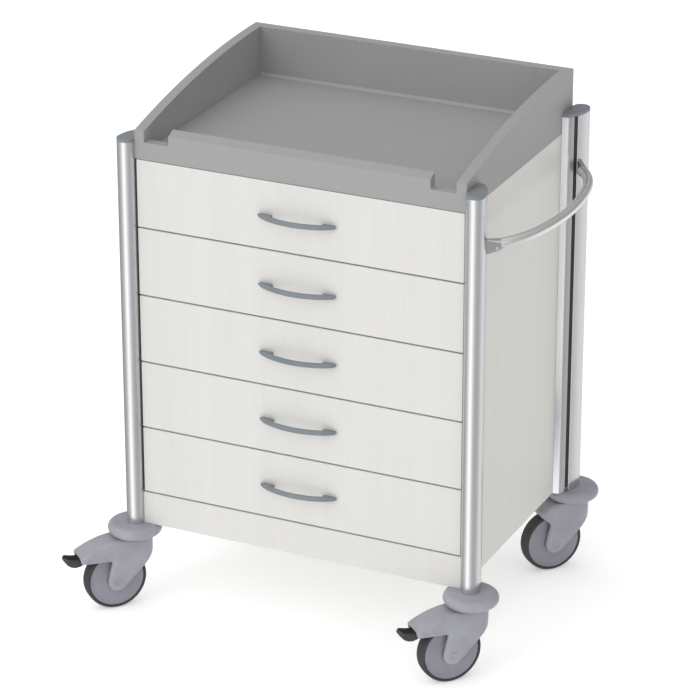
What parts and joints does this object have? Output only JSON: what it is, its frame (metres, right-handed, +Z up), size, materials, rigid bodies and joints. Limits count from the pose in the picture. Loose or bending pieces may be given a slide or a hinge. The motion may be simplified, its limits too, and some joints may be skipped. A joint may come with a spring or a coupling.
{
  "type": "instrument cart",
  "caption": "Drawer cabinet on swivel casters with a raised-edge grey top tray, aluminium wing corner posts, a bowed side push rail and brake pedals.",
  "frame": {"origin": "on the floor, under the middle of the whole outline, casters and rail included", "axes": "+Z up, -Y towards the drawer fronts, +X towards the push rail"},
  "size_m": [0.9049, 0.6826, 1.0421],
  "materials": {
    "laminate": "satin off-white melamine laminate",
    "tray_grey": "matt mid-grey moulded top",
    "anodised": "natural anodised extrusion, fine lengthwise grain",
    "cap_plastic": "satin blue-grey moulding",
    "black_strip": "matt black groove filler",
    "bracket_metal": "satin grey cast metal",
    "handle_grey": "satin blue-grey lacquer",
    "drawer_box": "smooth light grey moulding",
    "zinc_steel": "bright zinc plate",
    "caster_plastic": "satin cool grey nylon",
    "hub_plastic": "satin cool grey nylon",
    "tyre_rubber": "dark grey non-marking rubber",
    "pedal_plastic": "matt black ribbed plastic"
  },
  "bodies": {
    "cabinet": {"side_panel_left": "laminate", "side_panel_right": "laminate", "back_panel": "laminate", "bottom_panel": "laminate", "plinth_panel": "laminate", "top_tray": "tray_grey", "post_front_left": "anodised", "post_front_right": "anodised", "post_rear_left": "anodised", "post_rear_right": "anodised", "post_caps": "cap_plastic", "channel_strips": "black_strip", "caster_plates": "caster_plastic", "slide_cabinet_members": "zinc_steel", "push_rail": "anodised", "rail_brackets": "bracket_metal", "rail_screws": "zinc_steel"},
    "drawer_1": {"drawer_1_front": "laminate", "drawer_1_box": "drawer_box", "drawer_1_handle": "handle_grey", "drawer_1_slide_inner": "zinc_steel"},
    "slide_1": {"drawer_1_slide_middle": "zinc_steel"},
    "drawer_2": {"drawer_2_front": "laminate", "drawer_2_box": "drawer_box", "drawer_2_handle": "handle_grey", "drawer_2_slide_inner": "zinc_steel"},
    "slide_2": {"drawer_2_slide_middle": "zinc_steel"},
    "drawer_3": {"drawer_3_front": "laminate", "drawer_3_box": "drawer_box", "drawer_3_handle": "handle_grey", "drawer_3_slide_inner": "zinc_steel"},
    "slide_3": {"drawer_3_slide_middle": "zinc_steel"},
    "drawer_4": {"drawer_4_front": "laminate", "drawer_4_box": "drawer_box", "drawer_4_handle": "handle_grey", "drawer_4_slide_inner": "zinc_steel"},
    "slide_4": {"drawer_4_slide_middle": "zinc_steel"},
    "drawer_5": {"drawer_5_front": "laminate", "drawer_5_box": "drawer_box", "drawer_5_handle": "handle_grey", "drawer_5_slide_inner": "zinc_steel"},
    "slide_5": {"drawer_5_slide_middle": "zinc_steel"},
    "fork_front_left": {"caster_front_left_fork": "caster_plastic", "caster_front_left_pins": "zinc_steel"},
    "wheel_front_left": {"caster_front_left_hub": "hub_plastic", "caster_front_left_tyre": "tyre_rubber"},
    "pedal_front_left": {"caster_front_left_pedal": "pedal_plastic"},
    "fork_front_right": {"caster_front_right_fork": "caster_plastic", "caster_front_right_pins": "zinc_steel"},
    "wheel_front_right": {"caster_front_right_hub": "hub_plastic", "caster_front_right_tyre": "tyre_rubber"},
    "pedal_front_right": {"caster_front_right_pedal": "pedal_plastic"},
    "fork_rear_left": {"caster_rear_left_fork": "caster_plastic", "caster_rear_left_pins": "zinc_steel"},
    "wheel_rear_left": {"caster_rear_left_hub": "hub_plastic", "caster_rear_left_tyre": "tyre_rubber"},
    "fork_rear_right": {"caster_rear_right_fork": "caster_plastic", "caster_rear_right_pins": "zinc_steel"},
    "wheel_rear_right": {"caster_rear_right_hub": "hub_plastic", "caster_rear_right_tyre": "tyre_rubber"}
  },
  "joints": [
    {"name": "drawer_1_slide", "type": "slide", "parent": "cabinet", "child": "drawer_1", "axis": [0, -1, 0], "range_m": [0, 0.42]},
    {"name": "slide_1_middle", "type": "slide", "parent": "cabinet", "child": "slide_1", "axis": [0, -1, 0], "range_m": [0, 0.21]},
    {"name": "drawer_2_slide", "type": "slide", "parent": "cabinet", "child": "drawer_2", "axis": [0, -1, 0], "range_m": [0, 0.42]},
    {"name": "slide_2_middle", "type": "slide", "parent": "cabinet", "child": "slide_2", "axis": [0, -1, 0], "range_m": [0, 0.21]},
    {"name": "drawer_3_slide", "type": "slide", "parent": "cabinet", "child": "drawer_3", "axis": [0, -1, 0], "range_m": [0, 0.42]},
    {"name": "slide_3_middle", "type": "slide", "parent": "cabinet", "child": "slide_3", "axis": [0, -1, 0], "range_m": [0, 0.21]},
    {"name": "drawer_4_slide", "type": "slide", "parent": "cabinet", "child": "drawer_4", "axis": [0, -1, 0], "range_m": [0, 0.42]},
    {"name": "slide_4_middle", "type": "slide", "parent": "cabinet", "child": "slide_4", "axis": [0, -1, 0], "range_m": [0, 0.21]},
    {"name": "drawer_5_slide", "type": "slide", "parent": "cabinet", "child": "drawer_5", "axis": [0, -1, 0], "range_m": [0, 0.42]},
    {"name": "slide_5_middle", "type": "slide", "parent": "cabinet", "child": "slide_5", "axis": [0, -1, 0], "range_m": [0, 0.21]},
    {"name": "swivel_front_left", "type": "hinge", "parent": "cabinet", "child": "fork_front_left", "pos_m": [-0.34525, -0.221, 0.15], "axis": [0, 0, 1], "continuous": true},
    {"name": "wheel_front_left_spin", "type": "hinge", "parent": "fork_front_left", "child": "wheel_front_left", "pos_m": [-0.37477, -0.25496, 0.0625], "axis": [0.7547, -0.6561, 0], "continuous": true},
    {"name": "brake_front_left", "type": "hinge", "parent": "fork_front_left", "child": "pedal_front_left", "pos_m": [-0.41348, -0.29949, 0.118], "axis": [0.7547, -0.6561, 0], "range_deg": [0, 14]},
    {"name": "swivel_front_right", "type": "hinge", "parent": "cabinet", "child": "fork_front_right", "pos_m": [0.36525, -0.221, 0.15], "axis": [0, 0, 1], "continuous": true},
    {"name": "wheel_front_right_spin", "type": "hinge", "parent": "fork_front_right", "child": "wheel_front_right", "pos_m": [0.33573, -0.25496, 0.0625], "axis": [0.7547, -0.6561, 0], "continuous": true},
    {"name": "brake_front_right", "type": "hinge", "parent": "fork_front_right", "child": "pedal_front_right", "pos_m": [0.29702, -0.29949, 0.118], "axis": [0.7547, -0.6561, 0], "range_deg": [0, 14]},
    {"name": "swivel_rear_left", "type": "hinge", "parent": "cabinet", "child": "fork_rear_left", "pos_m": [-0.34525, 0.289, 0.15], "axis": [0, 0, 1], "continuous": true},
    {"name": "wheel_rear_left_spin", "type": "hinge", "parent": "fork_rear_left", "child": "wheel_rear_left", "pos_m": [-0.37477, 0.25504, 0.0625], "axis": [0.7547, -0.6561, 0], "continuous": true},
    {"name": "swivel_rear_right", "type": "hinge", "parent": "cabinet", "child": "fork_rear_right", "pos_m": [0.36525, 0.289, 0.15], "axis": [0, 0, 1], "continuous": true},
    {"name": "wheel_rear_right_spin", "type": "hinge", "parent": "fork_rear_right", "child": "wheel_rear_right", "pos_m": [0.33573, 0.25504, 0.0625], "axis": [0.7547, -0.6561, 0], "continuous": true}
  ],
  "couplings": [
    {"joint": "slide_1_middle", "follows": "drawer_1_slide", "ratio": 0.5},
    {"joint": "slide_2_middle", "follows": "drawer_2_slide", "ratio": 0.5},
    {"joint": "slide_3_middle", "follows": "drawer_3_slide", "ratio": 0.5},
    {"joint": "slide_4_middle", "follows": "drawer_4_slide", "ratio": 0.5},
    {"joint": "slide_5_middle", "follows": "drawer_5_slide", "ratio": 0.5}
  ]
}
